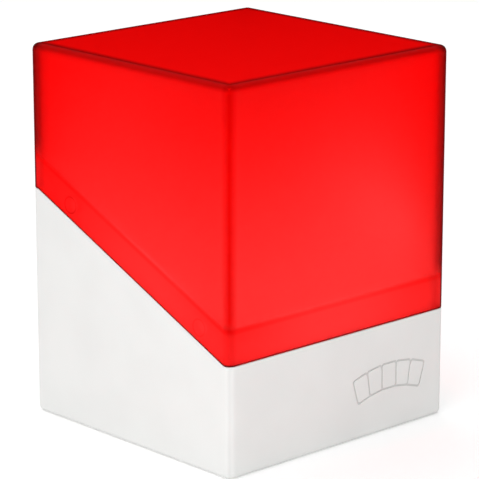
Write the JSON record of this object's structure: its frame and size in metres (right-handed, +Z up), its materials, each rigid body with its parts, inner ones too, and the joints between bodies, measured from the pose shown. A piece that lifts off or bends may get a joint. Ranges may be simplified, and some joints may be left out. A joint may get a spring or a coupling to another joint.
{
  "type": "card deck box",
  "caption": "Upright box for a deck of sleeved trading cards: opaque base tray with low front and climbing sides, inner sleeve standing up as a collar, and a translucent lift-off lid.",
  "frame": {"origin": "middle of the footprint, on the plane the box stands on", "axes": "+Z up, front with the low wall and the engraved mark facing -Y, +X to the right as seen from the front"},
  "size_m": [0.0782, 0.0768, 0.101],
  "materials": {
    "white_plastic": "fine satin moulding",
    "sleeve_plastic": "smooth satin moulding",
    "red_plastic": "translucent frosted moulding"
  },
  "bodies": {
    "base": {"base_shell": "white_plastic", "inner_sleeve": "sleeve_plastic"},
    "lid": {"lid": "red_plastic"}
  },
  "joints": [
    {"name": "lid_lift", "type": "slide", "parent": "base", "child": "lid", "axis": [0, 0, 1], "range_m": [0, 0.05]}
  ]
}
